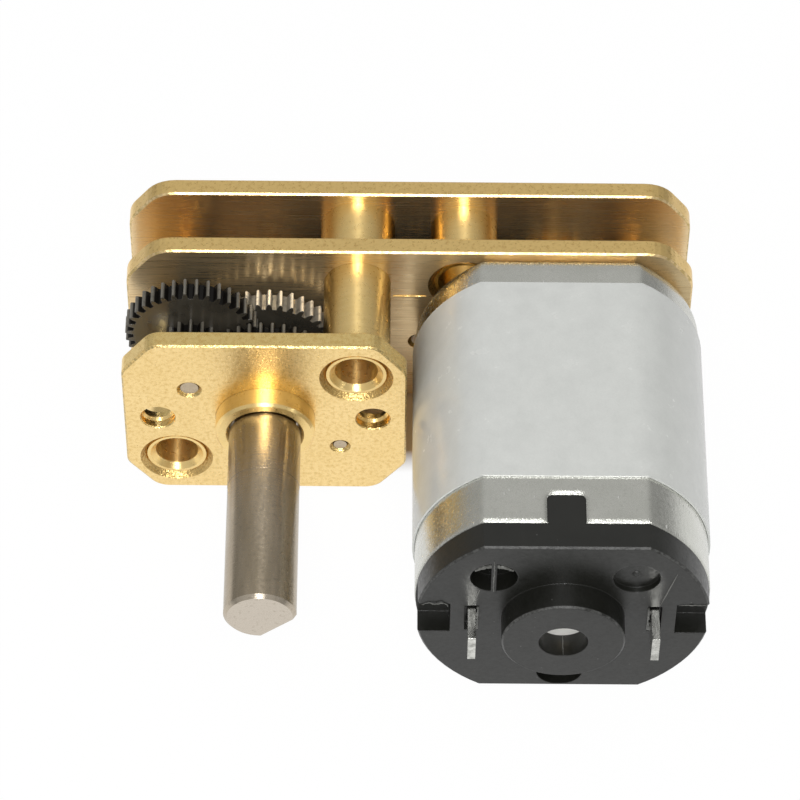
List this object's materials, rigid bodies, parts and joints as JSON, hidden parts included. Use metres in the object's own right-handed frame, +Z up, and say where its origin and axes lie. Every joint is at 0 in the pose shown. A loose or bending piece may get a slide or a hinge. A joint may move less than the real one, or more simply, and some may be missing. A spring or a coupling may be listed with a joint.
{
  "type": "gearmotor",
  "caption": "Small brushed motor lying beside an open brass-plate gearbox, whose spur-gear train turns a D-cut output shaft that points the same way as the motor's end cap.",
  "frame": {"origin": "on the output shaft's axis, in the front face of the front plate, midway between the two mounting holes", "axes": "+X from the output shaft to the motor, +Y from the shaft's tip to the rear plate, +Z up, square to the flat sides of the motor"},
  "size_m": [0.0242, 0.0203, 0.0102],
  "materials": {
    "plate_brass": "satin, bead-blasted face",
    "post_brass": "satin, turned",
    "shaft_steel": "ground",
    "axle_steel": "ground",
    "gear_steel": "black oxide, glossy",
    "screw_steel": "zinc plated",
    "can_nickel": "nickel plated, fine grain",
    "label_paper": "smooth",
    "cap_plastic": "matte moulded",
    "terminal_tin": "tin plated",
    "bush_metal": "sintered",
    "copper": "bright",
    "magnet_ferrite": "matte",
    "core_steel": "stamped",
    "washer_plastic": "matte"
  },
  "bodies": {
    "frame": {"front_plate": "plate_brass", "mid_plate": "plate_brass", "rear_plate": "plate_brass", "long_posts": "post_brass", "short_posts": "post_brass", "output_bushing": "post_brass", "fifth_axle": "axle_steel", "second_axle": "axle_steel", "first_axle": "axle_steel", "motor_screws": "screw_steel", "motor_can": "can_nickel", "can_label": "label_paper", "end_cap": "cap_plastic", "terminals": "terminal_tin", "brushes": "copper", "front_bush": "bush_metal", "rear_bush": "bush_metal", "magnets": "magnet_ferrite"},
    "rotor": {"motor_shaft": "axle_steel", "motor_pinion": "post_brass", "shaft_washers": "washer_plastic", "armature_core": "core_steel", "armature_coils": "copper", "commutator_hub": "cap_plastic", "commutator_segments": "copper"},
    "first_gear": {"first_wheel": "gear_steel", "first_pinion": "gear_steel"},
    "second_gear": {"second_wheel": "gear_steel", "second_pinion": "gear_steel"},
    "third_gear": {"third_shaft": "axle_steel", "third_pinion": "gear_steel", "third_wheel": "gear_steel"},
    "fourth_gear": {"fourth_wheel": "gear_steel", "fourth_pinion": "gear_steel"},
    "fifth_gear": {"fifth_wheel": "gear_steel", "fifth_pinion": "gear_steel"},
    "output": {"output_shaft": "shaft_steel", "output_gear": "gear_steel"}
  },
  "joints": [
    {"name": "rotor_spin", "type": "hinge", "parent": "frame", "child": "rotor", "pos_m": [0.01225, 0, 0], "axis": [0, -1, 0], "continuous": true},
    {"name": "first_spin", "type": "hinge", "parent": "frame", "child": "first_gear", "pos_m": [0.00993, 0, -0.00213], "axis": [0, -1, 0], "continuous": true},
    {"name": "second_spin", "type": "hinge", "parent": "frame", "child": "second_gear", "pos_m": [0.00648, 0, -0.00112], "axis": [0, -1, 0], "continuous": true},
    {"name": "third_spin", "type": "hinge", "parent": "frame", "child": "third_gear", "pos_m": [0.00312, 0, -0.00194], "axis": [0, -1, 0], "continuous": true},
    {"name": "fourth_spin", "type": "hinge", "parent": "frame", "child": "fourth_gear", "pos_m": [0, 0, 0], "axis": [0, -1, 0], "continuous": true},
    {"name": "fifth_spin", "type": "hinge", "parent": "frame", "child": "fifth_gear", "pos_m": [-0.00312, 0, 0.00194], "axis": [0, -1, 0], "continuous": true},
    {"name": "output_spin", "type": "hinge", "parent": "frame", "child": "output", "pos_m": [0, 0, 0], "axis": [0, -1, 0], "continuous": true}
  ],
  "couplings": [
    {"joint": "first_spin", "follows": "rotor_spin", "ratio": -0.5},
    {"joint": "second_spin", "follows": "rotor_spin", "ratio": 0.25},
    {"joint": "third_spin", "follows": "rotor_spin", "ratio": -0.088235},
    {"joint": "fourth_spin", "follows": "rotor_spin", "ratio": 0.028617},
    {"joint": "fifth_spin", "follows": "rotor_spin", "ratio": -0.011447},
    {"joint": "output_spin", "follows": "rotor_spin", "ratio": 0.0037125}
  ]
}
